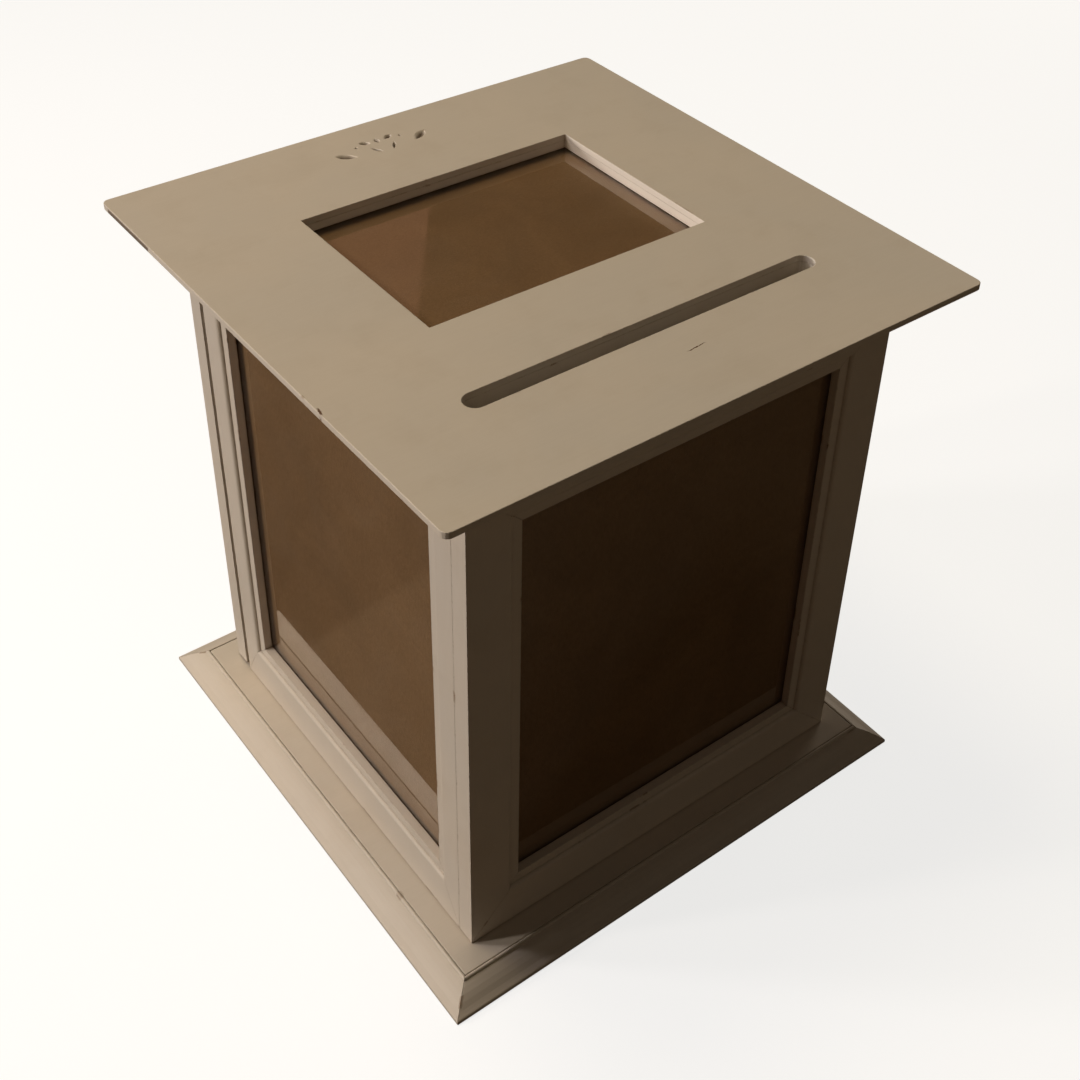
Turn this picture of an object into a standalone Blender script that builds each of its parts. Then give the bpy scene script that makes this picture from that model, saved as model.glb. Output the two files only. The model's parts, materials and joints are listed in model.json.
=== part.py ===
"""Wedding card box: a glazed cube of four mitred picture frames on a moulded plinth.

The frames stand between a plinth board and a top board. The lid plate on top has a card slot and
a glazed window. The rear frame is a door on two butt hinges, and behind every pane a hardboard
back is held by metal turn buttons. Front is -Y, the door is +Y, up is +Z, and the origin is the
centre of the underside.
"""

import math

import bmesh
import bpy
from mathutils import Matrix, Vector

MM = 0.001

# Driving dimensions.
LID_SIDE = 304.8 * MM
LID_T = 3.4 * MM
LID_CORNER_R = 3.5 * MM
BODY_SIDE = 249.2 * MM
BASE_H = 10.6 * MM
LEDGE_SIDE = 275.0 * MM
PLINTH_SIDE = 304.4 * MM
BODY_H = 307.6 * MM
TOP_BOARD_T = 8.4 * MM

# Gap between pieces that touch, and the thinner glue line between the lid and the top board.
FIT = 0.3 * MM
GLUE_LINE = 0.1 * MM

# Picture frame moulding, measured from its outer edge inwards and from its face backwards.
FRAME_T = 10.7 * MM
RAIL_W = 31.0 * MM
STILE_W = 30.2 * MM
SIDE_STILE_W = 20.3 * MM
ROUND_R = 2.0 * MM
FILLET_W = 5.6 * MM
REBATE_DEPTH = 6.7 * MM
REBATE_W = 7.0 * MM
MITRE_GAP = 0.2 * MM

# Rear door.
DOOR_GAP = 3.6 * MM
DOOR_CLEAR = 1.8 * MM

# Panes and their hardboard backs.
GLASS_T = 1.6 * MM
BACK_T = 1.8 * MM
PANE_CLEAR = 0.5 * MM

# Lid window and card slot, placed from the middle of the lid.
WINDOW_X = 162.6 * MM
WINDOW_Y = 114.0 * MM
WINDOW_CY = 22.9 * MM
LID_PANE_LIP = 7.5 * MM
LID_PANE_DEPTH = 4.5 * MM
SLOT_L = 202.0 * MM
SLOT_W = 11.5 * MM
SLOT_CY = -89.7 * MM

# Leaves and dots chip carved in the lid behind its window: x, y, length, width and turn in degrees.
CARVING_CX = -6.5 * MM
CARVING_CY = 126.0 * MM
CARVED = (
    (-22.5, -2.2, 12.0, 4.6, -34),
    (22.5, -2.2, 12.0, 4.6, 214),
    (-7.0, 5.6, 6.4, 3.2, -30),
    (7.0, 5.6, 6.4, 3.2, 210),
    (-5.2, -4.4, 7.6, 1.8, -58),
    (5.2, -4.4, 7.6, 1.8, 238),
    (0.0, 5.0, 5.0, 2.8, 90),
    (-13.5, 3.4, 1.6, 1.6, 0),
    (13.5, 3.4, 1.6, 1.6, 0),
)
CARVED_DEPTH = 2.0 * MM

# Turn buttons, which swing on their own headed pins, and round head screws.
BUTTON_L = 18.0 * MM
BUTTON_W = 8.0 * MM
BUTTON_T = 0.8 * MM
BUTTON_INSET = 4.5 * MM
SHANK_R = 1.25 * MM
HOLE_SLACK = 0.1 * MM
HEAD_R = 2.7 * MM
HEAD_H = 1.5 * MM
PIN_L = 5.6 * MM

# Holes for the countersunk screws up through the plinth board.
PLINTH_HEAD_R = 3.2 * MM
PLINTH_HEAD_H = 2.4 * MM
PLINTH_SCREW_R = 1.5 * MM
PLINTH_PILOT = 12.0 * MM

# Butt hinges.
HINGE_H = 32.0 * MM
LEAF_T = 1.0 * MM
LEAF_W = 10.0 * MM
KNUCKLE_R = 2.2 * MM
PIN_R = 1.1 * MM
HINGE_HEAD_R = 2.1 * MM
HINGE_HEAD_H = 1.5 * MM
HINGE_SCREW_R = 0.85 * MM
HINGE_SCREW_L = 8.0 * MM
HINGE_SCREW_Z = 9.5 * MM
LEAF_SEAT = 0.25 * MM

# Knob and magnetic catch.
KNOB_R = 8.5 * MM
KNOB_L = 19.0 * MM
CATCH_SIZE = (24.0 * MM, 10.5 * MM, 9.0 * MM)
CATCH_EAR = 8.0 * MM
CATCH_EAR_T = 1.6 * MM
MAGNET_SIZE = (16.0 * MM, 5.0 * MM, 5.0 * MM)
MAGNET_PROUD = 0.2 * MM
STRIKE_W = 22.0 * MM

# Levels and planes worked out from the sizes above.
HALF = BODY_SIDE / 2
LID_Z = BASE_H + BODY_H
TOP_BOARD_Z = LID_Z - TOP_BOARD_T - GLUE_LINE
PANE_SEAT_Z = LID_Z - GLUE_LINE - LID_PANE_DEPTH
FRAME_Z0 = BASE_H + FIT
FRAME_Z1 = TOP_BOARD_Z - FIT
SIDE_Y0 = -HALF + FRAME_T + FIT
SIDE_Y1 = HALF - FRAME_T - DOOR_GAP
DOOR_Z0 = BASE_H + DOOR_CLEAR
DOOR_Z1 = TOP_BOARD_Z - DOOR_CLEAR
HINGE_X = HALF + KNUCKLE_R + 0.4 * MM
HINGE_Y = HALF - FRAME_T - DOOR_GAP / 2
LEAF_X = HALF - LEAF_W / 2 + 0.1 * MM
HINGE_LEVELS = {"lower": BASE_H + 62.0 * MM, "upper": LID_Z - 62.0 * MM}
MID_Z = (FRAME_Z0 + FRAME_Z1) / 2
FRAME_H = FRAME_Z1 - FRAME_Z0
DOOR_H = DOOR_Z1 - DOOR_Z0
SIDE_LENGTH = SIDE_Y1 - SIDE_Y0
KNOB_X = -HALF + 15.0 * MM
CATCH_X = -HALF + 50.0 * MM
CATCH_Y1 = HALF - FRAME_T - 1.8 * MM

# The stiles of each frame, the one on the left of its outer face first.
STILE_NAMES = {
    "front": ("stile_left", "stile_right"),
    "right": ("stile_front", "stile_rear"),
    "left": ("stile_rear", "stile_front"),
    "door": ("stile_hinge", "stile_free"),
}

X_AXIS = Vector((1, 0, 0))
Y_AXIS = Vector((0, 1, 0))
Z_AXIS = Vector((0, 0, 1))


def clear_scene():
    for obj in list(bpy.data.objects):
        bpy.data.objects.remove(obj, do_unlink=True)


def new_collection(name):
    made = bpy.data.collections.new(name)
    bpy.context.scene.collection.children.link(made)
    return made


def material(name, color, roughness, metallic=0.0, alpha=1.0):
    made = bpy.data.materials.new(name)
    made.use_nodes = True
    shader = made.node_tree.nodes["Principled BSDF"]
    shader.inputs["Base Color"].default_value = (*color, 1.0)
    shader.inputs["Roughness"].default_value = roughness
    shader.inputs["Metallic"].default_value = metallic
    shader.inputs["Alpha"].default_value = alpha
    made.diffuse_color = (*color, alpha)
    return made


def materials():
    return {
        "paint": material("cream_paint", (0.72, 0.66, 0.56), 0.45),
        "raw": material("raw_wood", (0.58, 0.42, 0.25), 0.7),
        "hardboard": material("hardboard", (0.16, 0.085, 0.04), 0.65),
        "glass": material("clear_glass", (0.9, 0.93, 0.92), 0.03, alpha=0.3),
        "zinc": material("zinc_plate", (0.62, 0.62, 0.6), 0.35, 1.0),
        "brass": material("brass", (0.72, 0.52, 0.24), 0.3, 1.0),
        "nickel": material("brushed_nickel", (0.66, 0.64, 0.6), 0.3, 1.0),
        "plastic": material("white_plastic", (0.78, 0.76, 0.72), 0.4),
        "magnet": material("dark_magnet", (0.05, 0.05, 0.055), 0.5, 0.3),
    }


def finish(obj, collection, mat):
    """Puts an object in its collection, with its one material."""
    for old in list(obj.users_collection):
        old.objects.unlink(obj)
    collection.objects.link(obj)
    obj.data.materials.clear()
    obj.data.materials.append(mat)
    return obj


def hold(obj, parent):
    """Parents an object where it already stands."""
    bpy.context.view_layer.update()
    obj.parent = parent
    obj.matrix_parent_inverse = parent.matrix_world.inverted()
    return obj


def pivot(name, location):
    """An empty on a joint's axis, to which the moving pieces are parented."""
    made = bpy.data.objects.new(name, None)
    made.location = location
    made.empty_display_size = 10 * MM
    bpy.context.scene.collection.objects.link(made)
    bpy.context.view_layer.update()
    return made


def arc(cx, cy, r, start, end, steps):
    """Points on a round stretch, its angles in degrees."""
    turns = [math.radians(start + (end - start) * i / steps) for i in range(steps + 1)]
    return [(cx + r * math.cos(a), cy + r * math.sin(a)) for a in turns]


def outline_mesh(name, loops, thickness):
    """A flat outline, with any holes in it, extruded to a plate centred on its own plane."""
    curve = bpy.data.curves.new(name, "CURVE")
    curve.dimensions = "2D"
    curve.fill_mode = "BOTH"
    curve.extrude = thickness / 2
    for loop in loops:
        spline = curve.splines.new("POLY")
        spline.points.add(len(loop) - 1)
        spline.use_cyclic_u = True
        for point, (x, y) in zip(spline.points, loop):
            point.co = (x, y, 0, 1)
    return solid_from(bpy.data.objects.new(name, curve))


def solid_from(source):
    """The evaluated mesh of a curve or a modified object, welded, with the source removed."""
    bpy.context.scene.collection.objects.link(source)
    bpy.context.view_layer.update()
    graph = bpy.context.evaluated_depsgraph_get()
    mesh = bpy.data.meshes.new_from_object(source.evaluated_get(graph))
    mesh.name = source.name
    bpy.data.objects.remove(source, do_unlink=True)
    shape = bmesh.new()
    shape.from_mesh(mesh)
    bmesh.ops.remove_doubles(shape, verts=shape.verts, dist=0.01 * MM)
    bmesh.ops.recalc_face_normals(shape, faces=shape.faces)
    shape.to_mesh(mesh)
    shape.free()
    return mesh


def turned_mesh(name, profile, steps):
    """A round piece turned about Z from (radius, height) points that run from top to bottom."""
    mesh = bpy.data.meshes.new(name)
    points = [(r, 0, z) for r, z in profile]
    mesh.from_pydata(points, [(i, i + 1) for i in range(len(points) - 1)], [])
    source = bpy.data.objects.new(name, mesh)
    screw = source.modifiers.new("turn", "SCREW")
    screw.steps = steps
    screw.render_steps = steps
    screw.use_merge_vertices = True
    screw.merge_threshold = 0.01 * MM
    made = solid_from(source)
    made.shade_smooth()
    made.set_sharp_from_angle(angle=math.radians(35))
    return made


def block_mesh(name, size, bevel=0.0):
    """A block centred on its own origin, with its edges eased."""
    mesh = bpy.data.meshes.new(name)
    shape = bmesh.new()
    bmesh.ops.create_cube(shape, size=1.0)
    bmesh.ops.scale(shape, vec=size, verts=shape.verts)
    if bevel:
        bmesh.ops.bevel(shape, geom=shape.edges[:], offset=bevel, segments=1, affect="EDGES")
    shape.to_mesh(mesh)
    shape.free()
    return mesh


def copies_mesh(name, mesh, places):
    """Separate copies of one mesh, at a list of matrices."""
    shape = bmesh.new()
    for place in places:
        start = len(shape.verts)
        shape.from_mesh(mesh)
        shape.verts.ensure_lookup_table()
        bmesh.ops.transform(shape, matrix=place, verts=shape.verts[start:])
    made = bpy.data.meshes.new(name)
    shape.to_mesh(made)
    shape.free()
    made.set_sharp_from_angle(angle=math.radians(35))
    return made


def placed(name, mesh, location=(0, 0, 0), rotation=None):
    obj = bpy.data.objects.new(name, mesh)
    obj.location = location
    if rotation:
        obj.rotation_euler = rotation
    return obj


def aim(location, direction):
    """A matrix that puts a mesh's +Z along a direction, at a place."""
    turn = Vector(direction).to_track_quat("Z", "Y").to_matrix().to_4x4()
    return Matrix.Translation(location) @ turn


class Box:
    """The collections and materials of the box, and the steps that need them."""

    def __init__(self):
        self.parts = new_collection("wedding_card_box")
        self.cutters = new_collection("cutters")
        self.mats = materials()

    def add(self, obj, mat):
        return finish(obj, self.parts, self.mats[mat])

    def block(self, name, low, high, mat, bevel=0.0):
        """A block between two opposite corners."""
        size = [b - a for a, b in zip(low, high)]
        centre = [(a + b) / 2 for a, b in zip(low, high)]
        return self.add(placed(name, block_mesh(name, size, bevel), centre), mat)

    def combine(self, target, helper, operation):
        """Cuts a helper solid out of a part, or joins it on. The helper stays with the part."""
        finish(helper, self.cutters, self.mats["zinc"])
        helper.hide_render = True
        helper.display_type = "WIRE"
        hold(helper, target)
        modifier = target.modifiers.new(helper.name, "BOOLEAN")
        modifier.object = helper
        modifier.operation = operation

    def cut(self, target, cutter):
        self.combine(target, cutter, "DIFFERENCE")

    def join(self, target, piece):
        self.combine(target, piece, "UNION")

    def drill(self, target, places, radius, depth):
        """Round holes: each place is the middle of a mouth and the way out of the hole."""
        bit = cylinder_mesh("bit", radius, -depth, 1 * MM)
        holes = copies_mesh(target.name + "_holes", bit, [aim(*place) for place in places])
        self.cut(target, placed(target.name + "_holes", holes))


def cylinder_mesh(name, radius, z0, z1, steps=16):
    return turned_mesh(name, [(0, z1), (radius, z1), (radius, z0), (0, z0)], steps)


def rounded_rectangle(width, height, r, steps=4):
    """A rectangle's outline with round corners, centred on the origin."""
    x = width / 2 - r
    y = height / 2 - r
    corners = ((x, y, 0), (-x, y, 90), (-x, -y, 180), (x, -y, 270))
    return [p for cx, cy, a in corners for p in arc(cx, cy, r, a, a + 90, steps)]


# ---- Plinth ----


def plinth_outline():
    """Section of the plinth moulding: outwards from the board's edge, and up."""
    w = (PLINTH_SIDE - LEDGE_SIDE) / 2 - FIT
    top = BASE_H
    slope = [(1.5 * MM, top - 1.4 * MM)]
    for i in range(1, 5):
        t = i / 5
        bulge = 0.9 * MM * math.sin(math.pi * t)
        slope.append((1.5 * MM + (w - 2.2 * MM) * t, top - 1.4 * MM - (top - 3.2 * MM) * t + bulge))
    toe = arc(w - 1.2 * MM, 1.3 * MM, 1.2 * MM, 60, 0, 3)
    return [(0, 0), (0, top), (0.9 * MM, top), (1.4 * MM, top - 0.5 * MM), *slope, *toe, (w, 0)]


def mitre_outline(length, offset, run):
    """Both end wedges that a cutter takes off a bar, in the bar's width and length."""
    near, far = run[0], run[-1]
    spare = 20 * MM
    wedges = []
    for side in (-1, 1):
        line = [(u, side * (length / 2 - back - offset)) for u, back in run]
        wedges.append([*line, (far[0], side * (length / 2 + spare)), (near[0], side * (length / 2 + spare))])
    return wedges


def plinth_board(box):
    """The board under the frames, with a counterbored hole for each screw that holds them."""
    half = LEDGE_SIDE / 2
    board = box.block("plinth_board", (-half, -half, 0), (half, half, BASE_H), "paint", 0.4 * MM)
    places = [((x, y, 0), -Z_AXIS) for x, y in plinth_screw_places()]
    box.drill(board, places, PLINTH_SCREW_R + FIT, 2 * BASE_H)
    box.drill(board, places, PLINTH_HEAD_R + FIT, PLINTH_HEAD_H + 2 * FIT)


def plinth_mouldings(box):
    """Four mitred mouldings round the board. The front one is turned a quarter back from +X."""
    inner = LEDGE_SIDE / 2 + FIT
    run = [(u, PLINTH_SIDE / 2 - inner - u) for u in (-1 * MM, 20 * MM)]
    for i, side in enumerate(("front", "right", "rear", "left")):
        name = f"plinth_moulding_{side}"
        stand = Matrix.Rotation(math.radians(90 * i - 90), 4, "Z") @ Matrix.Translation((inner, 0, 0))
        obj = placed(name, outline_mesh(name, [plinth_outline()], PLINTH_SIDE))
        obj.matrix_world = stand @ Matrix.Rotation(math.pi / 2, 4, "X")
        box.add(obj, "paint")
        wedges = mitre_outline(PLINTH_SIDE, MITRE_GAP / 2, run)
        cutter = placed(name + "_mitre", outline_mesh(name + "_mitre", wedges, 4 * BASE_H))
        cutter.matrix_world = stand
        box.cut(obj, cutter)


def plinth_screw_places():
    """Two screws up into the bottom rail of each fixed frame."""
    edge = HALF - FRAME_T / 2
    along = 70 * MM
    front = [(x, -edge) for x in (-along, along)]
    sides = [(x, y) for x in (-edge, edge) for y in (-along, along)]
    return front + sides


def plinth_pilot_holes(box, members):
    """Pilot holes for the plinth's screws, in the rails that stand on the board."""
    places = plinth_screw_places()
    for side, pair in zip(("front", "left", "right"), (places[0:2], places[2:4], places[4:6])):
        mouths = [((x, y, FRAME_Z0), -Z_AXIS) for x, y in pair]
        box.drill(members[side]["rail_bottom"], mouths, PLINTH_SCREW_R + FIT, PLINTH_PILOT)


# ---- Frames ----


def moulding_outline(width):
    """Section of a frame member: inwards from its outer edge, and back from its face."""
    flat = width - ROUND_R - FILLET_W
    rounded = arc(flat, ROUND_R, ROUND_R, -90, 0, 4)
    inner = [(width, ROUND_R), (width, REBATE_DEPTH), (width - REBATE_W, REBATE_DEPTH)]
    return [(0, 0), *rounded, *inner, (width - REBATE_W, FRAME_T), (0, FRAME_T)]


def member(box, name, width, length, neighbour, to_world):
    """One mitred frame member. Its outline lies across its length, and both ends are cut."""
    flat = width - ROUND_R - FILLET_W
    neighbour_flat = neighbour - ROUND_R - FILLET_W
    mesh = outline_mesh(name, [moulding_outline(width)], length)
    obj = placed(name, mesh)
    obj.matrix_world = to_world
    box.add(obj, "paint")
    slant = neighbour_flat / flat
    run = [(-1 * MM, -slant * MM), (flat, neighbour_flat), (width + 2 * MM, neighbour + 2 * MM)]
    cutter_mesh = outline_mesh(name + "_mitre", mitre_outline(length, MITRE_GAP / 2, run), 4 * FRAME_T)
    cutter = placed(name + "_mitre", cutter_mesh)
    # The cutter's outline lies in the member's width and length, so it is tipped over.
    cutter.matrix_world = to_world @ Matrix.Rotation(math.pi / 2, 4, "X")
    box.cut(obj, cutter)
    return obj


def frame_pose(side):
    """Frame space has its face at y = 0, its back at +y, and z up; this puts it on a side."""
    turns = {"front": 0, "right": 90, "door": 180, "left": -90}
    shift = (SIDE_Y0 + SIDE_Y1) / 2
    centres = {
        "front": (0, -HALF, MID_Z),
        "right": (HALF, shift, MID_Z),
        "left": (-HALF, shift, MID_Z),
        "door": (0, HALF, (DOOR_Z0 + DOOR_Z1) / 2),
    }
    turn = Matrix.Rotation(math.radians(turns[side]), 4, "Z")
    return Matrix.Translation(centres[side]) @ turn


def frame_members(box, side, width, height, stile_w, rail_w):
    """The two stiles and two rails of one frame, found by turning one member round its middle."""
    pose = frame_pose(side)
    first, second = STILE_NAMES[side]
    plan = (
        (first, 0, width, height, stile_w, rail_w),
        ("rail_bottom", -90, height, width, rail_w, stile_w),
        (second, 180, width, height, stile_w, rail_w),
        ("rail_top", 90, height, width, rail_w, stile_w),
    )
    made = {}
    for part, turn, span, length, own, other in plan:
        spin = Matrix.Rotation(math.radians(turn), 4, "Y")
        outer = Matrix.Translation((-span / 2, 0, 0))
        made[part] = member(box, f"{side}_{part}", own, length, other, pose @ spin @ outer)
    return made


def pane_and_back(box, side, width, height, stile_w, rail_w):
    """The glass and the hardboard behind it, in the frame's rebate."""
    pose = frame_pose(side)
    x = width / 2 - stile_w + REBATE_W - PANE_CLEAR
    z = height / 2 - rail_w + REBATE_W - PANE_CLEAR
    glass_y = REBATE_DEPTH + FIT
    back_y = FRAME_T - BACK_T
    made = []
    layers = (("glass", glass_y, GLASS_T, "glass"), ("backing_board", back_y, BACK_T, "hardboard"))
    for layer, y, t, mat in layers:
        obj = placed(f"{side}_{layer}", block_mesh(f"{side}_{layer}", (2 * x, t, 2 * z)))
        obj.matrix_world = pose @ Matrix.Translation((0, y + t / 2, 0))
        made.append(box.add(obj, mat))
    return made


def button_mesh(name):
    """A turn button: a flat bar with round ends, its pivot at the origin."""
    reach = BUTTON_L - BUTTON_W
    outline = arc(0, 0, BUTTON_W / 2, 90, 270, 8) + arc(reach, 0, 0.375 * BUTTON_W, -90, 90, 8)
    return outline_mesh(name, [outline], BUTTON_T)


def screw_mesh(name, length, slot_depth=0.7 * MM):
    """A round head screw with a slot. The seat is at z = 0, the shank goes down."""
    dome = [(HEAD_R * math.sin(a), HEAD_H * math.cos(a)) for a in (0, 0.45, 0.9, 1.3)]
    shank = [(HEAD_R, 0), (SHANK_R, 0), (SHANK_R, -length + SHANK_R), (0.2 * MM, -length), (0, -length)]
    body = placed(name, turned_mesh(name, [*dome, *shank], 16))
    tool = placed("slot", block_mesh("slot", (3 * HEAD_R, 0.8 * MM, 2 * slot_depth)), (0, 0, HEAD_H))
    bpy.context.scene.collection.objects.link(tool)
    modifier = body.modifiers.new("slot", "BOOLEAN")
    modifier.object = tool
    made = solid_from(body)
    bpy.data.objects.remove(tool, do_unlink=True)
    return made


def rail_button_places(side, height, rail_w):
    """Pivots of the upper and lower turn button, on the back of a frame's rails."""
    pose = frame_pose(side)
    z = height / 2 - rail_w + REBATE_W + BUTTON_INSET
    inward = (pose.to_3x3() @ Y_AXIS).normalized()
    places = {}
    for part, up in (("upper", 1), ("lower", -1)):
        places[part] = (pose @ Vector((0, FRAME_T, up * z)), inward, -up * Z_AXIS)
    return places


def turn_button(box, name, mouth, inward, reach):
    """Lays a button on a back face, pointing along reach. Its own pin turns in the hole there."""
    basis = Matrix((reach, inward.cross(reach), inward)).transposed().to_4x4()
    button = placed(name, button_mesh(name))
    button.matrix_world = Matrix.Translation(mouth + inward * (FIT + BUTTON_T / 2)) @ basis
    pin = placed(name + "_pin", screw_mesh(name + "_pin", PIN_L))
    pin.matrix_world = button.matrix_world @ Matrix.Translation((0, 0, BUTTON_T / 4))
    box.join(box.add(button, "zinc"), pin)
    return button


# ---- Lid ----


def lid_plate(box):
    mesh = outline_mesh("lid_plate", [rounded_rectangle(LID_SIDE, LID_SIDE, LID_CORNER_R)], LID_T)
    lid = box.add(placed("lid_plate", mesh, (0, 0, LID_Z + LID_T / 2)), "paint")
    ease = lid.modifiers.new("eased_edges", "BEVEL")
    ease.width = 0.9 * MM
    ease.segments = 2
    ease.limit_method = "ANGLE"
    ease.angle_limit = math.radians(50)
    cut_window_and_slot(box, lid, "lid")
    box.cut(lid, placed("lid_carving", carving_mesh("lid_carving")))


def cut_window_and_slot(box, obj, name):
    """Cuts the window and the card slot right through the lid or the top board."""
    tall = 4 * TOP_BOARD_T
    window = block_mesh(name + "_window", (WINDOW_X, WINDOW_Y, tall))
    box.cut(obj, placed(name + "_window", window, (0, WINDOW_CY, LID_Z)))
    slot = outline_mesh(name + "_slot", [rounded_rectangle(SLOT_L, SLOT_W, SLOT_W / 2 - 0.01 * MM, 6)], tall)
    box.cut(obj, placed(name + "_slot", slot, (0, SLOT_CY, LID_Z)))


def chip_mesh(name):
    """A leaf shaped chip of unit length, width and depth: a blunt end, a pointed end and a V below."""
    shape = bmesh.new()
    stem = 0.2
    for i in range(13):
        t = i / 12
        half = 0.58 * math.sin(math.pi * t) * (1.2 - 0.45 * t)
        for side in (-half, half):
            shape.verts.new(((1 + stem) * (t - 0.5), (1 + stem) * side, stem))
    for x in (-0.22, 0.1):
        shape.verts.new((x, 0, -1))
    bmesh.ops.remove_doubles(shape, verts=shape.verts, dist=0.001)
    made = bmesh.ops.convex_hull(shape, input=shape.verts)
    bmesh.ops.delete(shape, geom=made["geom_interior"], context="VERTS")
    bmesh.ops.recalc_face_normals(shape, faces=shape.faces)
    mesh = bpy.data.meshes.new(name)
    shape.to_mesh(mesh)
    shape.free()
    return mesh


def carving_mesh(name):
    """Every chip of the lid's carving, in its place on the lid's top face."""
    places = []
    for x, y, length, width, turn in CARVED:
        at = Matrix.Translation((CARVING_CX + x * MM, CARVING_CY + y * MM, LID_Z + LID_T))
        size = Matrix.Diagonal((length * MM, width * MM, CARVED_DEPTH, 1))
        places.append(at @ Matrix.Rotation(math.radians(turn), 4, "Z") @ size)
    return copies_mesh(name, chip_mesh(name), places)


def top_board(box):
    low = (-HALF, -HALF, TOP_BOARD_Z)
    high = (HALF, HALF, TOP_BOARD_Z + TOP_BOARD_T)
    board = box.block("top_board", low, high, "paint", 0.3 * MM)
    cut_window_and_slot(box, board, "board")
    x, y = pane_pocket()
    pocket = block_mesh("pane_pocket", (2 * x, 2 * y, 2 * (PANE_SEAT_Z - TOP_BOARD_Z)))
    box.cut(board, placed("pane_pocket", pocket, (0, WINDOW_CY, TOP_BOARD_Z)))
    return board


def pane_pocket():
    """Half sizes of the pocket under the top board that holds the lid's pane."""
    return WINDOW_X / 2 + LID_PANE_LIP + PANE_CLEAR, WINDOW_Y / 2 + LID_PANE_LIP + PANE_CLEAR


def lid_pane(box):
    """The lid's glass in its pocket under the window, and the board below it."""
    x, y = (half - PANE_CLEAR for half in pane_pocket())
    top = PANE_SEAT_Z - FIT
    under = top - GLASS_T
    box.block("lid_glass", (-x, WINDOW_CY - y, under), (x, WINDOW_CY + y, top), "glass")
    low = (-x, WINDOW_CY - y, TOP_BOARD_Z)
    box.block("lid_backing_board", low, (x, WINDOW_CY + y, under - FIT), "hardboard")


def lid_buttons(box):
    """Two buttons under the top board. Returns their screw places."""
    x = pane_pocket()[0] + BUTTON_INSET
    places = []
    for part, side in (("left", -1), ("right", 1)):
        mouth = Vector((side * x, WINDOW_CY, TOP_BOARD_Z))
        turn_button(box, f"turn_button_lid_{part}", mouth, -Z_AXIS, -side * X_AXIS)
        places.append((mouth, -Z_AXIS))
    return places


# ---- Hinges ----


def leaf_outline(offset):
    """A leaf from above, rolled round the pin at the origin, with its plate at an offset from it."""
    low = offset - LEAF_T / 2
    high = offset + LEAF_T / 2
    start, end = (180 - math.degrees(math.asin(y / KNUCKLE_R)) for y in (high, low))
    far = LEAF_X - LEAF_W / 2 - HINGE_X
    rolled = [(far, low), (far, high), *arc(0, 0, KNUCKLE_R, start, end - 360, 20)]
    bore = arc(0, 0, PIN_R + 0.1 * MM, 0, 360, 20)[:-1]
    return [rolled, bore]


def hinge_leaf(box, name, z, y, notches):
    """A leaf with its knuckles. Each notch makes room for the other leaf's, in thirds of its height."""
    plate = outline_mesh(name, leaf_outline(y - HINGE_Y), HINGE_H)
    leaf = box.add(placed(name, plate, (HINGE_X, HINGE_Y, z)), "brass")
    side = 4 * KNUCKLE_R
    for i, third in enumerate(notches):
        notch = f"{name}_notch_{i}"
        mesh = block_mesh(notch, (side, side, HINGE_H / 3 + FIT))
        x = LEAF_X + LEAF_W / 2 + side / 2
        box.cut(leaf, placed(notch, mesh, (x, HINGE_Y, z + third * HINGE_H / 3)))
    return leaf


def countersunk_mesh(name):
    """A flat head screw, its head's top at z = 0."""
    head = [(0, 0), (HINGE_HEAD_R, 0), (HINGE_HEAD_R, -0.15 * HINGE_HEAD_H), (HINGE_SCREW_R, -HINGE_HEAD_H)]
    tip = -HINGE_SCREW_L
    point = [(HINGE_SCREW_R, tip + HINGE_SCREW_R), (0.2 * MM, tip), (0, tip)]
    return turned_mesh(name, head + point, 16)


def hinges(box, frame_stile, door_stile):
    """Both butt hinges. The outer knuckles are the frame leaf's, the middle one is the door's."""
    seat = LEAF_SEAT + LEAF_T / 2
    sides = {
        "frame": (SIDE_Y1 + seat, Y_AXIS, (0,), frame_stile),
        "door": (HALF - FRAME_T - seat, -Y_AXIS, (-1, 1), door_stile),
    }
    half = HINGE_H / 2 + 1.0 * MM
    rim = [(0, half), (0.7 * PIN_R, half), (PIN_R, half - 0.4 * MM)]
    pin = turned_mesh("hinge_pin", [*rim, *[(r, -z) for r, z in reversed(rim)]], 20)
    door_leaves = []
    for level, z in HINGE_LEVELS.items():
        box.add(placed(f"{level}_hinge_pin", pin, (HINGE_X, HINGE_Y, z)), "brass")
        for which, (y, outwards, notches, stile) in sides.items():
            leaf = hinge_leaf(box, f"{level}_hinge_{which}_leaf", z, y, notches)
            mouths = [Vector((LEAF_X, y, z + up * HINGE_SCREW_Z)) + outwards * LEAF_T / 2 for up in (-1, 1)]
            places = [(mouth, outwards) for mouth in mouths]
            box.drill(leaf, places, HINGE_HEAD_R + FIT, 3 * LEAF_T)
            box.drill(stile, places, HINGE_SCREW_R + 0.5 * MM, HINGE_SCREW_L + 2 * MM)
            if which == "door":
                door_leaves.append(leaf)
    return door_leaves


# ---- Knob and catch ----


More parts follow.
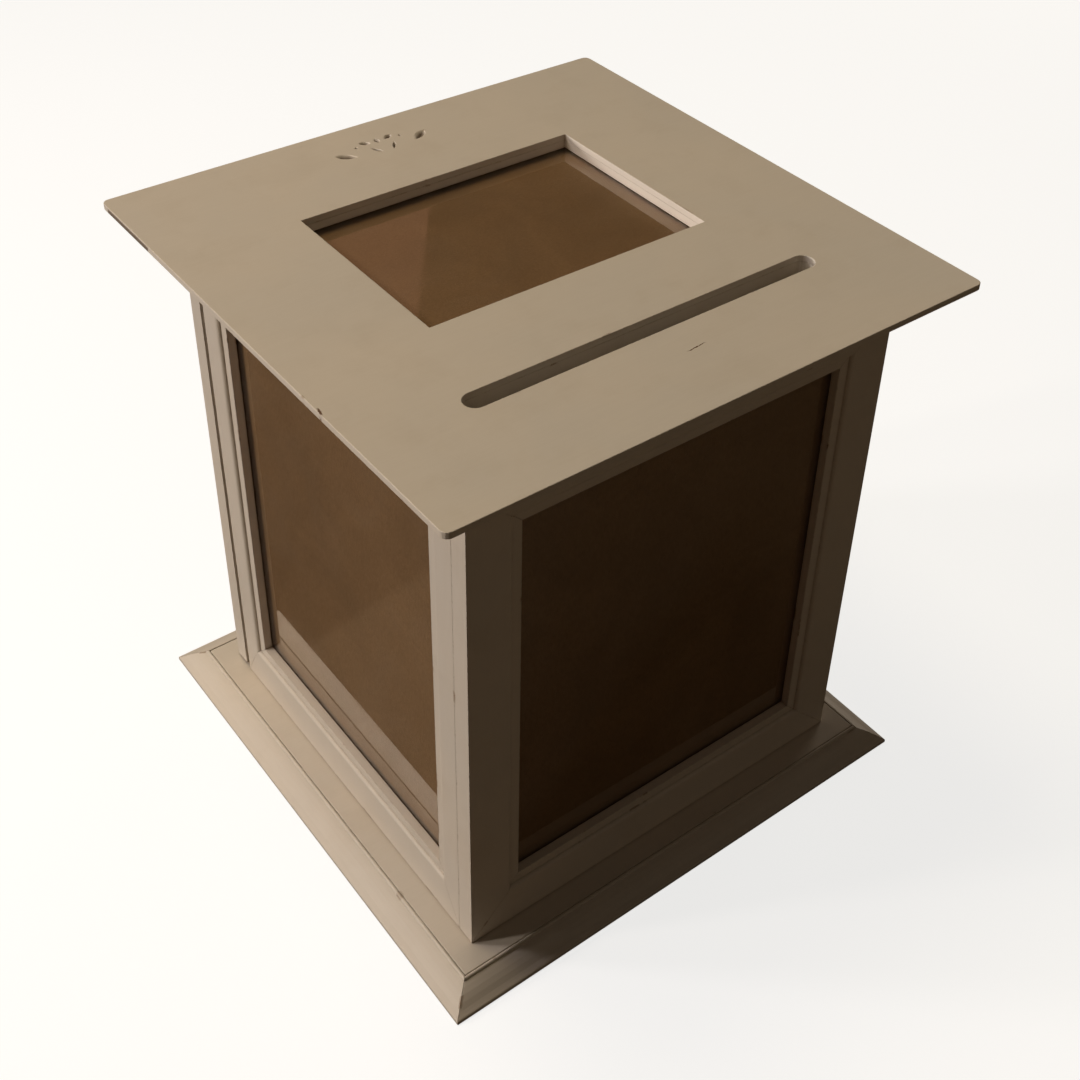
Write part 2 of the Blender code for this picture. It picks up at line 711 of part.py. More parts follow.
def knob(box, door_stile):
    """A turned knob on the door's free stile, and the screw that holds it from inside."""
    profile = [
        (0, KNOB_L),
        (0.45 * KNOB_R, KNOB_L - 0.3 * MM),
        (0.8 * KNOB_R, KNOB_L - 1.6 * MM),
        (KNOB_R, KNOB_L - 4.6 * MM),
        (0.9 * KNOB_R, KNOB_L - 7.6 * MM),
        (0.55 * KNOB_R, KNOB_L - 10.5 * MM),
        (0.42 * KNOB_R, KNOB_L - 13.5 * MM),
        (0.5 * KNOB_R, 2.4 * MM),
        (0.72 * KNOB_R, 1.2 * MM),
        (0.72 * KNOB_R, 0),
        (SHANK_R + FIT, 0),
        (SHANK_R + FIT, 9 * MM),
        (0, 9 * MM),
    ]
    obj = placed("door_knob", turned_mesh("door_knob", profile, 28))
    obj.matrix_world = aim((KNOB_X, HALF + FIT, MID_Z), Y_AXIS)
    box.add(obj, "nickel")
    inside = Vector((KNOB_X, HALF - FRAME_T, MID_Z))
    screw = placed("knob_screw", screw_mesh("knob_screw", FRAME_T + 7 * MM))
    screw.matrix_world = aim(inside - Y_AXIS * FIT, -Y_AXIS)
    box.add(screw, "zinc")
    box.drill(door_stile, [(inside, -Y_AXIS)], SHANK_R + FIT, FRAME_T + 5 * MM)
    return [obj, screw]


def catch(box):
    """The magnetic catch under the top board and its screws. Returns where they enter the board."""
    w, d, h = CATCH_SIZE
    z1 = TOP_BOARD_Z - FIT
    low = (CATCH_X - w / 2, CATCH_Y1 - d, z1 - h)
    high = (CATCH_X + w / 2, CATCH_Y1, z1)
    housing = box.block("catch_housing", low, high, "plastic", 0.5 * MM)
    ear_size = (w + 2 * CATCH_EAR, 0.8 * d, CATCH_EAR_T)
    ears = placed("catch_ears", block_mesh("catch_ears", ear_size, 0.2 * MM))
    ears.location = (CATCH_X, CATCH_Y1 - d / 2, z1 - CATCH_EAR_T / 2)
    box.join(housing, ears)
    size = Vector(MAGNET_SIZE)
    room = (size.x + 2 * FIT, 2 * (size.y + FIT), size.z + 2 * FIT)
    pocket = placed("magnet_pocket", block_mesh("magnet_pocket", room), (CATCH_X, CATCH_Y1, z1 - h / 2))
    box.cut(housing, pocket)
    centre = Vector((CATCH_X, CATCH_Y1 - size.y / 2 + MAGNET_PROUD, z1 - h / 2))
    box.block("catch_magnet", centre - size / 2, centre + size / 2, "magnet")
    reach = w / 2 + CATCH_EAR / 2
    mouths = [Vector((CATCH_X + side * reach, CATCH_Y1 - d / 2, TOP_BOARD_Z)) for side in (-1, 1)]
    seats = [mouth - Z_AXIS * (CATCH_EAR_T + 2 * FIT) for mouth in mouths]
    box.drill(housing, [(seat, -Z_AXIS) for seat in seats], SHANK_R + FIT, h)
    mesh = screw_mesh("catch_screw", PIN_L)
    for name, seat in zip(("left", "right"), seats):
        screw = placed(f"catch_screw_{name}", mesh)
        screw.matrix_world = aim(seat, -Z_AXIS)
        box.add(screw, "zinc")
    return [(mouth, -Z_AXIS) for mouth in mouths]


def strike_plate(box, door_rail):
    """The steel plate that meets the magnet, and its screw into the door's top rail."""
    y1 = HALF - FRAME_T - FIT
    z0 = TOP_BOARD_Z - FIT - CATCH_SIZE[2]
    z1 = DOOR_Z1 - 1 * MM
    low = (CATCH_X - STRIKE_W / 2, y1 - LEAF_T, z0)
    plate = box.block("strike_plate", low, (CATCH_X + STRIKE_W / 2, y1, z1), "zinc", 0.1 * MM)
    place = (Vector((CATCH_X, y1 - LEAF_T, (z0 + z1) / 2)), -Y_AXIS)
    box.drill(plate, [place], HINGE_HEAD_R + FIT, 3 * LEAF_T)
    box.drill(door_rail, [place], HINGE_SCREW_R + 0.5 * MM, HINGE_SCREW_L + 2 * MM)
    screw = placed("strike_screw", countersunk_mesh("strike_screw"))
    screw.matrix_world = aim(*place)
    return [plate, box.add(screw, "zinc")]


# ---- Assembly ----


def corner_blocks(box):
    """Glue blocks that hold the front frame to the side frames."""
    side = 8 * MM
    x = HALF - FRAME_T - FIT
    y = SIDE_Y0
    for name, sign in (("left", -1), ("right", 1)):
        low = (min(sign * x, sign * (x - side)), y, FRAME_Z0)
        high = (max(sign * x, sign * (x - side)), y + side, FRAME_Z1)
        box.block(f"corner_block_{name}", low, high, "raw", 0.6 * MM)


def frames(box):
    """All four frames. Returns the members of each by side."""
    sizes = {
        "front": (BODY_SIDE, FRAME_H, STILE_W, RAIL_W),
        "left": (SIDE_LENGTH, FRAME_H, SIDE_STILE_W, RAIL_W),
        "right": (SIDE_LENGTH, FRAME_H, SIDE_STILE_W, RAIL_W),
        "door": (BODY_SIDE, DOOR_H, STILE_W, RAIL_W),
    }
    made = {}
    for side, (width, height, stile_w, rail_w) in sizes.items():
        members = frame_members(box, side, width, height, stile_w, rail_w)
        panes = pane_and_back(box, side, width, height, stile_w, rail_w)
        places = rail_button_places(side, height, rail_w)
        buttons = []
        for part, (mouth, inward, reach) in places.items():
            buttons.append(turn_button(box, f"turn_button_{side}_{part}", mouth, inward, reach))
            rail = members["rail_top" if part == "upper" else "rail_bottom"]
            box.drill(rail, [(mouth, inward)], SHANK_R + HOLE_SLACK, PIN_L)
        made[side] = {"members": members, "panes": panes, "buttons": buttons}
    return made


def main():
    clear_scene()
    box = Box()
    plinth_board(box)
    plinth_mouldings(box)
    sides = frames(box)
    members = {side: made["members"] for side, made in sides.items()}
    plinth_pilot_holes(box, members)
    lid_plate(box)
    board = top_board(box)
    lid_pane(box)
    corner_blocks(box)
    places = lid_buttons(box) + catch(box)
    box.drill(board, places, SHANK_R + HOLE_SLACK, PIN_L)

    door = sides["door"]
    moving = [*members["door"].values(), *door["panes"], *door["buttons"]]
    moving += hinges(box, members["right"]["stile_rear"], members["door"]["stile_hinge"])
    moving += knob(box, members["door"]["stile_free"])
    moving += strike_plate(box, members["door"]["rail_top"])
    hinge_axis = pivot("door_hinge_axis", (HINGE_X, HINGE_Y, MID_Z))
    for piece in moving:
        hold(piece, hinge_axis)


main()
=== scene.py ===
"""Looks of the wedding card box: painted wood, glass over brown backing boards, hardware and screws."""

import json
import math

import bmesh
import bpy
from mathutils import Matrix, Vector

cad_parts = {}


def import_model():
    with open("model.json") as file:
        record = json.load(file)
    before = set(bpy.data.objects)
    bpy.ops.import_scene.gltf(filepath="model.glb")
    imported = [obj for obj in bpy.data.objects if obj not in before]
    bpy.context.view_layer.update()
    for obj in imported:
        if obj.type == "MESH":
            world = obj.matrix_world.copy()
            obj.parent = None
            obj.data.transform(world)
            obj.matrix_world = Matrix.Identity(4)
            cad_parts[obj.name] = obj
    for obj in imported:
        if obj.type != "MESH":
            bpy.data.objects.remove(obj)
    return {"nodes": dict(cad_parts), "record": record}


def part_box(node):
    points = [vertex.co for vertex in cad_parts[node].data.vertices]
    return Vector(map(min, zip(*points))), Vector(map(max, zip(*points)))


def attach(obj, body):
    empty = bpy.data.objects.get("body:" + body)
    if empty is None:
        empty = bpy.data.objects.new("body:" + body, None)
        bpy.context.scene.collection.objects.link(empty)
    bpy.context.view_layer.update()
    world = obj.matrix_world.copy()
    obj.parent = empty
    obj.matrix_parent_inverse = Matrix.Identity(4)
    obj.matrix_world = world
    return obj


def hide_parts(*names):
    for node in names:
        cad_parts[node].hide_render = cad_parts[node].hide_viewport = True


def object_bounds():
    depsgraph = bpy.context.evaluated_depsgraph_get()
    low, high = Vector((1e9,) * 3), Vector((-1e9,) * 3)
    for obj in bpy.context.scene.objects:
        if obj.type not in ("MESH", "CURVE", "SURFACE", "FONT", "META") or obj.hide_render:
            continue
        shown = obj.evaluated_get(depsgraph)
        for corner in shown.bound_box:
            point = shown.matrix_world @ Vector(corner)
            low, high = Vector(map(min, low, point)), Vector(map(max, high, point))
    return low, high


MM = 0.001

# The cream paint, what is on it or under it, and the painted light and painted shade laid on it.
PAINT_WARM = (0.70, 0.625, 0.525)
PAINT_COOL = (0.665, 0.605, 0.52)
PAINT_LIGHT = (0.76, 0.70, 0.61)
# Painted light: a lighter cream on the ends of the window and the slot.
PAINTED_LIGHT_TINT = (0.90, 0.84, 0.76)
PAINT_STAIN = (0.60, 0.525, 0.425)
# Painted shade: darker tints laid in the corners and in the bottom of the carving.
PAINTED_CORNER_SHADE_TINT = (0.30, 0.23, 0.16)
PAINTED_CARVING_SHADE_TINT = (0.12, 0.08, 0.05)
BARE_WOOD = (0.30, 0.20, 0.12)
SCRATCH = (0.13, 0.07, 0.035)

# The ends of the window and the slot, which are painted lighter to stand in for the light on them, lie
# within this distance of the middle, and this far down.
CUT_REACH = 112 * MM
CUT_DEPTH = 11 * MM
# The carving lies between these distances behind the middle, and its painted shade darkens between these
# depths.
CARVING_FROM = 100 * MM
CARVING_TO = 145 * MM
CARVING_PALE = 0.25 * MM
CARVING_DARK = 1.3 * MM
# A scratch near the front of the lid and a chip on its left edge. In mm and degrees: x, y, angle,
# half of the length, width.
LID_MARKS = ((6, -114, 4, 6.2, 0.34), (-151.6, -59.5, 80, 3.0, 0.6))

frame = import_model()
cad_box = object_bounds()

# ---- Node materials ----


class Nodes:
    """A node tree under construction: each call adds a node and gives its output socket."""

    def __init__(self, tree):
        self.tree = tree

    def node(self, kind, inputs=(), out=0, **settings):
        made = self.tree.nodes.new(kind)
        for key, value in settings.items():
            setattr(made, key, value)
        for key, value in dict(inputs).items():
            self.feed(made.inputs[key], value)
        return made.outputs[out]

    def feed(self, socket, value):
        if isinstance(value, bpy.types.NodeSocket):
            self.tree.links.new(value, socket)
        elif socket.type == "RGBA":
            socket.default_value = (*value, 1.0)
        else:
            socket.default_value = value

    def math(self, operation, a, b=0.0, clamp=False):
        return self.node("ShaderNodeMath", {0: a, 1: b}, operation=operation, use_clamp=clamp)

    def dot(self, a, b):
        return self.node("ShaderNodeVectorMath", {0: a, 1: b}, out=1, operation="DOT_PRODUCT")

    def blend(self, share, a, b):
        made = self.tree.nodes.new("ShaderNodeMix")
        made.data_type = "RGBA"
        self.feed(made.inputs["Factor"], share)
        for name, value in (("A", a), ("B", b)):
            socket = [i for i in made.inputs if i.name == name and i.type == "RGBA"][0]
            self.feed(socket, value)
        return [o for o in made.outputs if o.type == "RGBA"][0]


class Shader(Nodes):
    """A material under construction, with the patterns that several materials share."""

    def __init__(self, name):
        self.mat = bpy.data.materials.new(name)
        self.mat.use_nodes = True
        super().__init__(self.mat.node_tree)
        self.bsdf = self.tree.nodes["Principled BSDF"]
        self.out = self.tree.nodes["Material Output"]

    def set(self, **inputs):
        for key, value in inputs.items():
            self.feed(self.bsdf.inputs[key.replace("_", " ")], value)

    def place(self, scale=(1, 1, 1), turn=(0, 0, 0), offset=(0, 0, 0)):
        """Object coordinates, which are metres in the box's own frame."""
        coords = self.node("ShaderNodeTexCoord", out=3)
        values = {"Vector": coords, "Scale": scale, "Rotation": turn, "Location": offset}
        return self.node("ShaderNodeMapping", values)

    def parts(self, vector):
        """The x, y and z of a vector."""
        return self.node("ShaderNodeSeparateXYZ", {0: vector}).node.outputs

    def noise(self, where, scale, detail=4.0, rough=0.55, distort=0.0):
        values = {"Vector": where, "Scale": scale, "Detail": detail, "Roughness": rough}
        values["Distortion"] = distort
        return self.node("ShaderNodeTexNoise", values)

    def cells(self, where, scale):
        """Distance to the nearest of many scattered points."""
        return self.node("ShaderNodeTexVoronoi", {"Vector": where, "Scale": scale, "Randomness": 1.0})

    def remap(self, value, low, high, to_low=0.0, to_high=1.0, smooth=False):
        kind = "SMOOTHSTEP" if smooth else "LINEAR"
        values = {"Value": value, "From Min": low, "From Max": high}
        values.update({"To Min": to_low, "To Max": to_high})
        return self.node("ShaderNodeMapRange", values, interpolation_type=kind)

    def edges(self, radius, low=0.02, high=0.25):
        """1 on the sharp edges of a piece, falling to 0 at a radius from them."""
        round_normal = self.node("ShaderNodeBevel", {"Radius": radius}, samples=6)
        flat_normal = self.node("ShaderNodeNewGeometry", out=1)
        bent = self.math("SUBTRACT", 1.0, self.dot(round_normal, flat_normal))
        return self.remap(bent, low, high, smooth=True)

    def painted_corner_shade(self, reach, low=0.35, high=0.9):
        """1 in corners that ambient light hardly reaches, 0 in the open: where shade is painted."""
        occlusion = self.node("ShaderNodeAmbientOcclusion", {"Distance": reach}, out=1, samples=8)
        return self.remap(occlusion, low, high, 1.0, 0.0)

    def eased(self, radius, samples):
        """The normal of edges that are slightly rounded."""
        return self.node("ShaderNodeBevel", {"Radius": radius}, samples=samples)

    def bump(self, height, distance, strength=1.0, normal=None):
        values = {"Height": height, "Distance": distance, "Strength": strength}
        if normal is not None:
            values["Normal"] = normal
        return self.node("ShaderNodeBump", values)


ALONG = {"x": (0.06, 1, 1), "y": (1, 0.06, 1), "z": (1, 1, 0.06)}


def paint(name, axis, marked=False):
    """Brushed cream paint on wood. The strokes run along an axis, and wear shows at the edges."""
    s = Shader(name)
    free = s.place()
    along = s.place(ALONG[axis])
    strokes = s.noise(along, 900.0, 5.0, 0.6)
    worn = paint_wear(s, free)
    tint = s.blend(worn, paint_coat(s, free, strokes), BARE_WOOD)
    nicks = None
    if axis == "x":
        # Painted light: the ends of the window and the slot are made lighter.
        tint = s.blend(painted_light_on_ends(s), tint, PAINTED_LIGHT_TINT)
    if marked:
        # Painted shade: the bottom of the carving is made darker.
        tint = s.blend(carving_painted_shade(s), tint, PAINTED_CARVING_SHADE_TINT)
        nicks = lid_marks(s)
        tint = s.blend(nicks, tint, SCRATCH)
    normal = paint_relief(s, free, along, strokes, worn, nicks)
    gloss = s.math("ADD", s.remap(strokes, 0.3, 0.7, 0.44, 0.54), s.math("MULTIPLY", worn, 0.2))
    s.set(Base_Color=tint, Roughness=gloss, Normal=normal)
    s.bsdf.inputs["Specular IOR Level"].default_value = 0.4
    return s.mat


def paint_coat(s, free, strokes):
    """Cream with cloudy patches, stains, paler strokes, and painted shade in the corners."""
    patches = s.noise(free, 9.0, 3.0, 0.6, 0.4)
    blotches = s.noise(free, 34.0, 4.0, 0.6, 0.2)
    tint = s.blend(s.remap(patches, 0.35, 0.68), PAINT_COOL, PAINT_WARM)
    tint = s.blend(s.remap(blotches, 0.5, 0.75, 0.0, 0.35), tint, PAINT_STAIN)
    tint = s.blend(s.remap(strokes, 0.42, 0.62, 0.0, 0.12), tint, PAINT_LIGHT)
    # Painted shade where ambient light hardly reaches the corners.
    return s.blend(s.math("MULTIPLY", s.painted_corner_shade(2.5 * MM), 0.4), tint, PAINTED_CORNER_SHADE_TINT)


def paint_wear(s, free):
    """How much of the paint is gone: thin ragged lines on the edges, and a few wider chips."""
    ragged = s.remap(s.noise(free, 260.0, 4.0, 0.7), 0.5, 0.62, smooth=True)
    rubbed = s.math("MULTIPLY", s.edges(1.1 * MM), ragged)
    rare = s.remap(s.noise(free, 70.0, 2.0), 0.66, 0.7)
    chips = s.math("MULTIPLY", s.edges(1.8 * MM, 0.01, 0.1), rare)
    return s.math("MAXIMUM", s.math("MULTIPLY", rubbed, 0.45), s.math("MULTIPLY", chips, 0.9))


def paint_relief(s, free, along, strokes, worn, nicks):
    """The normal of strokes, grain, specks, wear and marks, on edges that are slightly rounded."""
    grain = s.noise(along, 240.0, 3.0, 0.5, 0.3)
    speck = s.remap(s.cells(free, 700.0), 0.03, 0.1, 1.0, 0.0)
    height = s.math("ADD", s.math("MULTIPLY", strokes, 0.5), s.math("MULTIPLY", grain, 0.5))
    height = s.math("ADD", height, s.math("MULTIPLY", speck, 0.25))
    height = s.math("SUBTRACT", height, s.math("MULTIPLY", worn, 0.6))
    if nicks is not None:
        height = s.math("SUBTRACT", height, s.math("MULTIPLY", nicks, 2.0))
    return s.bump(height, 0.07 * MM, 0.5, s.eased(0.5 * MM, 6))


def painted_light_on_ends(s):
    """1 on the ends of the window and the slot, high on the box, which are painted lighter to stand in
    for the light that falls on them.
    """
    spot = s.parts(s.place())
    facing = s.parts(s.node("ShaderNodeNewGeometry", out=3))
    ends = s.remap(s.math("ABSOLUTE", facing[0]), 0.5, 0.75)
    within = s.math("LESS_THAN", s.math("ABSOLUTE", spot[0]), CUT_REACH)
    high = s.math("GREATER_THAN", spot[2], cad_box[1].z - CUT_DEPTH)
    return s.math("MULTIPLY", ends, s.math("MULTIPLY", within, high))


def carving_painted_shade(s):
    """0 on the lid's face, rising to 0.85 in the bottom of the carving behind the window, where shade is
    painted.
    """
    spot = s.parts(s.place())
    top = cad_box[1].z
    deep = s.remap(spot[2], top - CARVING_DARK, top - CARVING_PALE, 0.85, 0.0)
    behind = s.math("GREATER_THAN", spot[1], CARVING_FROM)
    inside = s.math("LESS_THAN", spot[1], CARVING_TO)
    return s.math("MULTIPLY", deep, s.math("MULTIPLY", behind, inside))


def lid_marks(s):
    """1 in the lid's marks, which waver a little along their length."""
    found = None
    for x, y, angle, length, width in LID_MARKS:
        turn = math.radians(angle)
        # Mapping scales, then turns, then moves, so the mark's place is turned first.
        where = Matrix.Rotation(-turn, 2) @ Vector((x, y)) * MM
        at = s.place((1, 1, 1), (0, 0, -turn), (-where.x, -where.y, 0))
        spot = s.parts(at)
        waver = s.remap(s.noise(at, 400.0, 2.0), 0.3, 0.7, -0.3 * MM, 0.3 * MM)
        beside = s.math("ABSOLUTE", s.math("ADD", spot[1], waver))
        run = s.remap(s.math("ABSOLUTE", spot[0]), 0.6 * length * MM, length * MM, 1.0, 0.0)
        thin = s.remap(beside, 0.5 * width * MM, width * MM, 1.0, 0.0)
        mark = s.math("MULTIPLY", run, thin, clamp=True)
        found = mark if found is None else s.math("MAXIMUM", found, mark)
    return found


GLASS_IOR = 1.5
# The back face of a pane adds to what its front face mirrors.
BOTH_FACES = 1.4


def glass(name):
    """Thin clear glass: what is behind shows unbent, and it mirrors by Fresnel, with faint dust."""
    s = Shader(name)
    free = s.place()
    smears = s.noise(free, 22.0, 4.0, 0.6, 1.2)
    dust = s.remap(s.cells(free, 420.0), 0.02, 0.09, 1.0, 0.0)
    clear = s.node("ShaderNodeBsdfTransparent", {"Color": (0.93, 0.95, 0.93)})
    rough = s.remap(smears, 0.4, 0.7, 0.015, 0.07)
    mirror = s.node("ShaderNodeBsdfGlossy", {"Color": (1, 1, 1), "Roughness": rough})
    haze = s.node("ShaderNodeBsdfDiffuse", {"Color": (0.62, 0.56, 0.47)})
    front = s.math("SUBTRACT", 1.0, s.node("ShaderNodeNewGeometry", out=6))
    share = s.math("MULTIPLY", s.node("ShaderNodeFresnel", {"IOR": GLASS_IOR}), BOTH_FACES)
    pane = s.node("ShaderNodeMixShader", {0: s.math("MULTIPLY", share, front), 1: clear, 2: mirror})
    dirt = s.math("ADD", s.remap(smears, 0.45, 0.75, 0.004, 0.02), s.math("MULTIPLY", dust, 0.05))
    mixed = s.node("ShaderNodeMixShader", {0: dirt, 1: pane, 2: haze})
    s.feed(s.out.inputs["Surface"], mixed)
    s.tree.nodes.remove(s.bsdf)
    return s.mat


def hardboard(name):
    """Dark brown pressed board: felted fibres, faint cloudy patches and a low sheen."""
    s = Shader(name)
    free = s.place()
    clouds = s.noise(free, 14.0, 4.0, 0.6, 0.8)
    fibres = s.noise(s.place((1, 1, 0.35)), 900.0, 6.0, 0.75, 0.6)
    flecks = s.remap(s.cells(free, 900.0), 0.05, 0.16, 1.0, 0.0)
    tint = s.blend(s.remap(clouds, 0.35, 0.7), (0.275, 0.142, 0.064), (0.345, 0.182, 0.086))
    tint = s.blend(s.remap(fibres, 0.4, 0.65, 0.0, 0.4), tint, (0.17, 0.085, 0.036))
    tint = s.blend(s.math("MULTIPLY", flecks, 0.3), tint, (0.42, 0.27, 0.15))
    normal = s.bump(fibres, 0.12 * MM, 0.5)
    s.set(Base_Color=tint, Roughness=s.remap(fibres, 0.3, 0.7, 0.5, 0.68), Normal=normal)
    return s.mat


def raw_wood(name):
    """Unpainted pine with upright grain and fine pores."""
    s = Shader(name)
    along = s.place((1, 1, 0.05))
    rings = s.noise(along, 160.0, 4.0, 0.55, 1.4)
    pores = s.noise(along, 1500.0, 3.0, 0.7)
    tint = s.blend(s.remap(rings, 0.35, 0.65), (0.62, 0.46, 0.28), (0.44, 0.29, 0.15))
    tint = s.blend(s.remap(pores, 0.55, 0.75, 0.0, 0.4), tint, (0.30, 0.19, 0.10))
    normal = s.bump(pores, 0.1 * MM, 0.6)
    s.set(Base_Color=tint, Roughness=s.remap(rings, 0.3, 0.7, 0.62, 0.78), Normal=normal)
    return s.mat


def metal(name, bright, dull, rough, lines=(1, 1, 1)):
    """Plated or solid metal with fine tool lines, cloudy tarnish and painted shade in its corners."""
    s = Shader(name)
    fine = s.noise(s.place(lines), 2600.0, 3.0, 0.6)
    clouds = s.noise(s.place(), 160.0, 4.0, 0.65, 0.6)
    tint = s.blend(s.remap(clouds, 0.38, 0.68), bright, dull)
    # Painted shade in the corners, where ambient light hardly reaches.
    tint = s.blend(s.math("MULTIPLY", s.painted_corner_shade(1.2 * MM), 0.6), tint, (0.08, 0.06, 0.045))
    tooled = s.remap(fine, 0.3, 0.7, rough, rough + 0.12)
    gloss = s.math("ADD", tooled, s.remap(clouds, 0.4, 0.7, 0.0, 0.14))
    normal = s.bump(fine, 0.02 * MM, 0.5, s.eased(0.15 * MM, 4))
    s.set(Base_Color=tint, Metallic=1.0, Roughness=gloss, Normal=normal)
    return s.mat


def plastic(name, tint, rough):
    """Moulded plastic with a fine spark texture."""
    s = Shader(name)
    grit = s.noise(s.place(), 2200.0, 3.0, 0.6)
    clouds = s.noise(s.place(), 120.0, 3.0, 0.6)
    darker = tuple(0.86 * c for c in tint)
    s.set(Base_Color=s.blend(s.remap(clouds, 0.35, 0.7), tint, darker))
    gloss = s.remap(grit, 0.3, 0.7, rough - 0.05, rough + 0.1)
    s.set(Roughness=gloss, Normal=s.bump(grit, 0.05 * MM, 0.5))
    return s.mat


# ---- Materials of the CAD pieces ----

NICKEL = ((0.64, 0.61, 0.56), (0.50, 0.47, 0.43), 0.24, (1, 0.05, 1))
FINISHES = {
    "x": paint("cream_paint_along_x", "x"),
    "y": paint("cream_paint_along_y", "y"),
    "z": paint("cream_paint_along_z", "z"),
    "lid": paint("cream_paint_lid", "x", marked=True),
    "clear_glass": glass("clear_glass_pane"),
    "hardboard": hardboard("hardboard_back"),
    "raw_wood": raw_wood("bare_pine"),
    "zinc_plate": metal("zinc_plated_steel", (0.62, 0.62, 0.60), (0.46, 0.46, 0.45), 0.30),
    "brass": metal("satin_brass", (0.70, 0.50, 0.22), (0.48, 0.33, 0.14), 0.28, (1, 1, 0.05)),
    "brushed_nickel": metal("brushed_nickel_knob", *NICKEL),
    "white_plastic": plastic("catch_plastic", (0.74, 0.71, 0.65), 0.42),
    "dark_magnet": plastic("ferrite_magnet", (0.055, 0.052, 0.05), 0.5),
}
SLOT_OF = {entry["node"]: entry["material_slot"] for entry in frame["record"]["subparts"]}


def finish_of(node):
    """A node's material. The strokes on painted wood run along its longest side."""
    slot = SLOT_OF[node]
    if slot != "cream_paint":
        return FINISHES[slot]
    if node == "lid_plate":
        return FINISHES["lid"]
    low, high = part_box(node)
    size = high - low
    return FINISHES["xyz"[max(range(3), key=lambda i: size[i])]]


for node_name, node_obj in frame["nodes"].items():
    node_obj.data.materials.clear()
    node_obj.data.materials.append(finish_of(node_name))

# ---- Making of new pieces ----


def mesh_of(name, shape):
    mesh = bpy.data.meshes.new(name)
    shape.to_mesh(mesh)
    shape.free()
    return mesh


def add_piece(name, mesh, body):
    obj = bpy.data.objects.new(name, mesh)
    bpy.context.scene.collection.objects.link(obj)
    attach(obj, body)
    return obj


def close_over(shape, rings):
    """Skins a row of rings that have as many points each, and caps both ends."""
    for near, far in zip(rings, rings[1:]):
        for i in range(len(near)):
            j = (i + 1) % len(near)
            shape.faces.new((near[i], near[j], far[j], far[i]))
    shape.faces.new(rings[0])
    shape.faces.new(rings[-1])
    bmesh.ops.recalc_face_normals(shape, faces=shape.faces)


# ---- Screws in the hinges and under the plinth ----

# Head radius, head height, shank radius, length.
HINGE_SCREW = (2.05 * MM, 1.4 * MM, 0.85 * MM, 8.0 * MM)
PLINTH_SCREW = (3.0 * MM, 2.2 * MM, 1.5 * MM, 20.0 * MM)
SCREW_STEPS = 32
# From the axis of a hinge's pin to the face of its leaf.
LEAF_FACE = 0.55 * MM
# A hinge's holes: from the leaf's edge, and up and down from its middle.
HINGE_HOLE_IN = 5.0 * MM
HINGE_HOLE_UP = 9.5 * MM
# The plinth's holes: out from the box's axis, and along the moulding from its middle.
PLINTH_HOLE_OUT = 119.25 * MM
PLINTH_HOLE_ALONG = 70 * MM
# Screw heads lie this deep in their holes.
HINGE_SUNK = 0.1 * MM
PLINTH_SUNK = 0.7 * MM


def screw_profile(head_r, head_h, shank_r, length):
    """Radius and height from the head's top down to the point, with a thread below the neck."""
    pitch = 1.2 * shank_r
    profile = [(0.0, 0.0), (0.86 * head_r, 0.0), (head_r, -0.12 * head_h), (shank_r, -head_h)]
    z = -1.25 * head_h
    while z - pitch > -length + 2.0 * shank_r:
        profile += [(0.8 * shank_r, z), (shank_r, z - 0.35 * pitch), (0.8 * shank_r, z - 0.7 * pitch)]
        z -= pitch
    return profile + [(0.7 * shank_r, -length + 1.6 * shank_r), (0.0, -length)]


def screw_mesh(name, *size):
    """A countersunk wood screw without its recess. The head's top is at z = 0."""
    shape = bmesh.new()
    rings = []
    turns = [math.tau * i / SCREW_STEPS for i in range(SCREW_STEPS)]
    for r, z in screw_profile(*size):
        if r == 0.0:
            rings.append([shape.verts.new((0, 0, z))])
        else:
            rings.append([shape.verts.new((r * math.cos(a), r * math.sin(a), z)) for a in turns])
    for upper, lower in zip(rings, rings[1:]):
        for i in range(SCREW_STEPS):
            j = (i + 1) % SCREW_STEPS
            if len(upper) == 1:
                shape.faces.new((upper[0], lower[i], lower[j]))
            elif len(lower) == 1:
                shape.faces.new((upper[j], upper[i], lower[0]))
            else:
                shape.faces.new((upper[j], upper[i], lower[i], lower[j]))
    bmesh.ops.recalc_face_normals(shape, faces=shape.faces)
    return mesh_of(name, shape)


def recess_mesh(name, span, depth):
    """The cross that a driver fits, tapered towards its bottom."""
    shape = bmesh.new()
    for turn in (0, math.pi / 2):
        verts = bmesh.ops.create_cube(shape, size=1.0)["verts"]
        bmesh.ops.scale(shape, vec=(span, 0.24 * span, 2 * depth), verts=verts)
        for v in verts:
            if v.co.z < 0:
                v.co.x *= 0.45
        bmesh.ops.rotate(shape, cent=(0, 0, 0), matrix=Matrix.Rotation(turn, 3, "Z"), verts=verts)
    return mesh_of(name, shape)


def cross_screw(name, size, slot):
    """The screw's mesh with its recess cut, ready to be placed many times."""
    head_r, head_h = size[:2]
    body = bpy.data.objects.new(name, screw_mesh(name, *size))
    tool = bpy.data.objects.new(name + "_tool", recess_mesh(name + "_tool", 1.25 * head_r, 0.55 * head_h))
    for obj in (body, tool):
        bpy.context.scene.collection.objects.link(obj)
    modifier = body.modifiers.new("recess", "BOOLEAN")
    modifier.object = tool
    modifier.operation = "DIFFERENCE"
    modifier.use_self = True
    bpy.context.view_layer.update()
    made = bpy.data.meshes.new_from_object(body.evaluated_get(bpy.context.evaluated_depsgraph_get()))
    made.shade_smooth()
    made.set_sharp_from_angle(angle=math.radians(30))
    made.materials.clear()
    made.materials.append(FINISHES[slot])
    for obj in (body, tool):
        bpy.data.objects.remove(obj, do_unlink=True)
    return made


